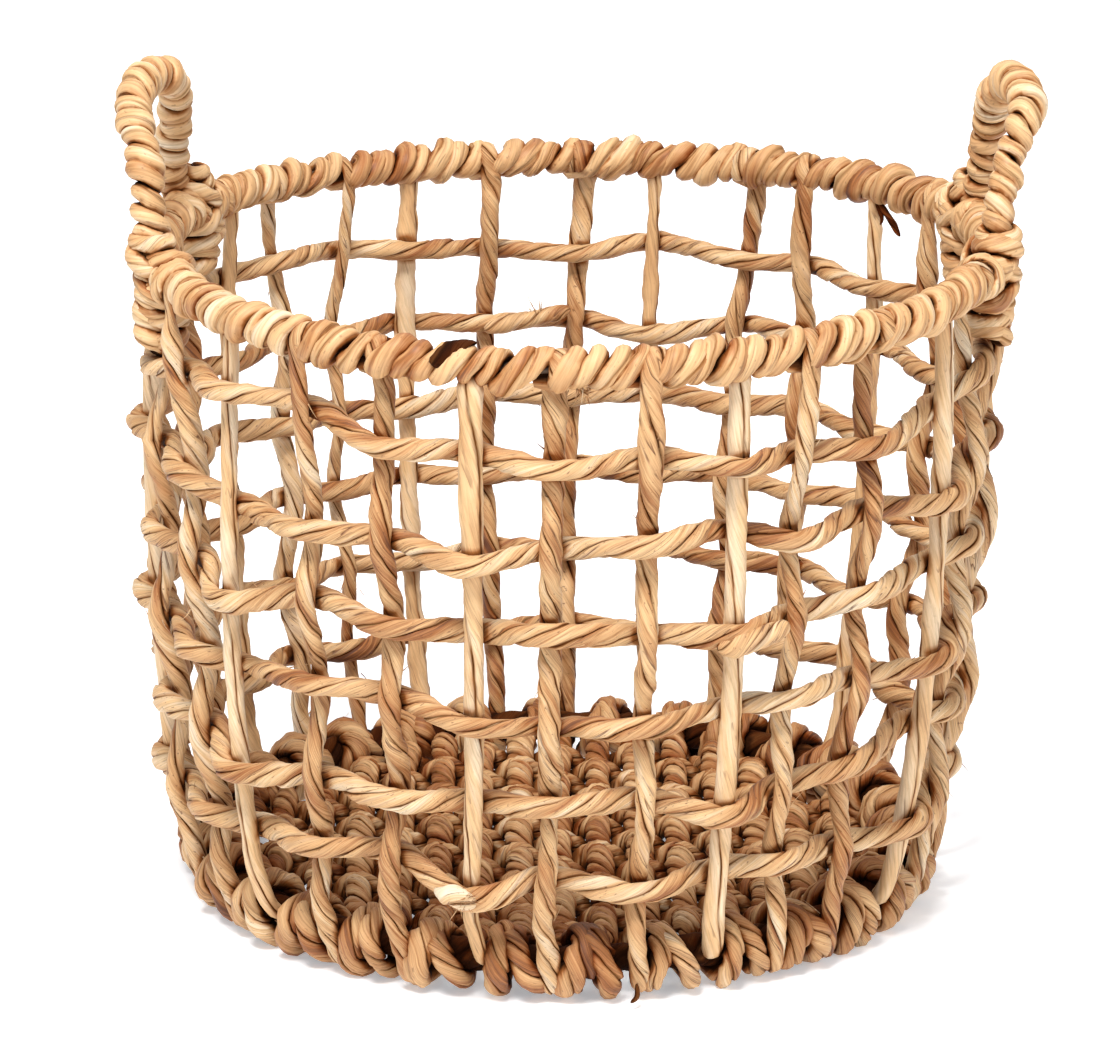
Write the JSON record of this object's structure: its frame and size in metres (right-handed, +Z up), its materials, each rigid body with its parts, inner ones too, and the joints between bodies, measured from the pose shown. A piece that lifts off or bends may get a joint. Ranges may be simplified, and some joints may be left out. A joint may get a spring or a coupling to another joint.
{
  "type": "laundry basket woven",
  "caption": "Open-weave round laundry basket of twisted water-hyacinth cord on a wire frame, with two upright arched handles on a wound rim.",
  "frame": {"origin": "on the floor, under the middle of the basket's round base", "axes": "+Z up through the basket's mouth, the two handles stand on the X axis, and -Y is the side that faces the viewer"},
  "size_m": [0.496, 0.4888, 0.472],
  "materials": {
    "frame_wire": "satin",
    "rolled_leaf": "satin",
    "stake_cord": "matte",
    "weft_cord": "matte",
    "winding_cord": "matte",
    "border_cord": "matte",
    "floor_cord": "matte"
  },
  "bodies": {
    "root": {"base_hoop": "frame_wire", "border_loops": "border_cord", "floor_warps": "floor_cord", "floor_wefts": "floor_cord", "handle_lashing_left": "winding_cord", "handle_lashing_right": "winding_cord", "handle_wire_left": "frame_wire", "handle_wire_right": "frame_wire", "handle_wrap_left": "winding_cord", "handle_wrap_right": "winding_cord", "post_sheath_01": "rolled_leaf", "post_sheath_02": "rolled_leaf", "post_sheath_03": "rolled_leaf", "post_sheath_04": "rolled_leaf", "post_sheath_05": "rolled_leaf", "post_sheath_06": "rolled_leaf", "post_sheath_07": "rolled_leaf", "post_sheath_08": "rolled_leaf", "post_sheath_09": "rolled_leaf", "post_sheath_10": "rolled_leaf", "post_wire_01": "frame_wire", "post_wire_02": "frame_wire", "post_wire_03": "frame_wire", "post_wire_04": "frame_wire", "post_wire_05": "frame_wire", "post_wire_06": "frame_wire", "post_wire_07": "frame_wire", "post_wire_08": "frame_wire", "post_wire_09": "frame_wire", "post_wire_10": "frame_wire", "rim_hoop": "frame_wire", "rim_winding": "winding_cord", "stake_01": "stake_cord", "stake_02": "stake_cord", "stake_03": "stake_cord", "stake_04": "stake_cord", "stake_05": "stake_cord", "stake_06": "stake_cord", "stake_07": "stake_cord", "stake_08": "stake_cord", "stake_09": "stake_cord", "stake_10": "stake_cord", "stake_11": "stake_cord", "stake_12": "stake_cord", "stake_13": "stake_cord", "stake_14": "stake_cord", "stake_15": "stake_cord", "stake_16": "stake_cord", "stake_17": "stake_cord", "stake_18": "stake_cord", "stake_19": "stake_cord", "stake_20": "stake_cord", "weft_row_1": "weft_cord", "weft_row_2": "weft_cord", "weft_row_3": "weft_cord", "weft_row_4": "weft_cord", "weft_row_5": "weft_cord", "weft_row_6": "weft_cord"}
  },
  "joints": []
}
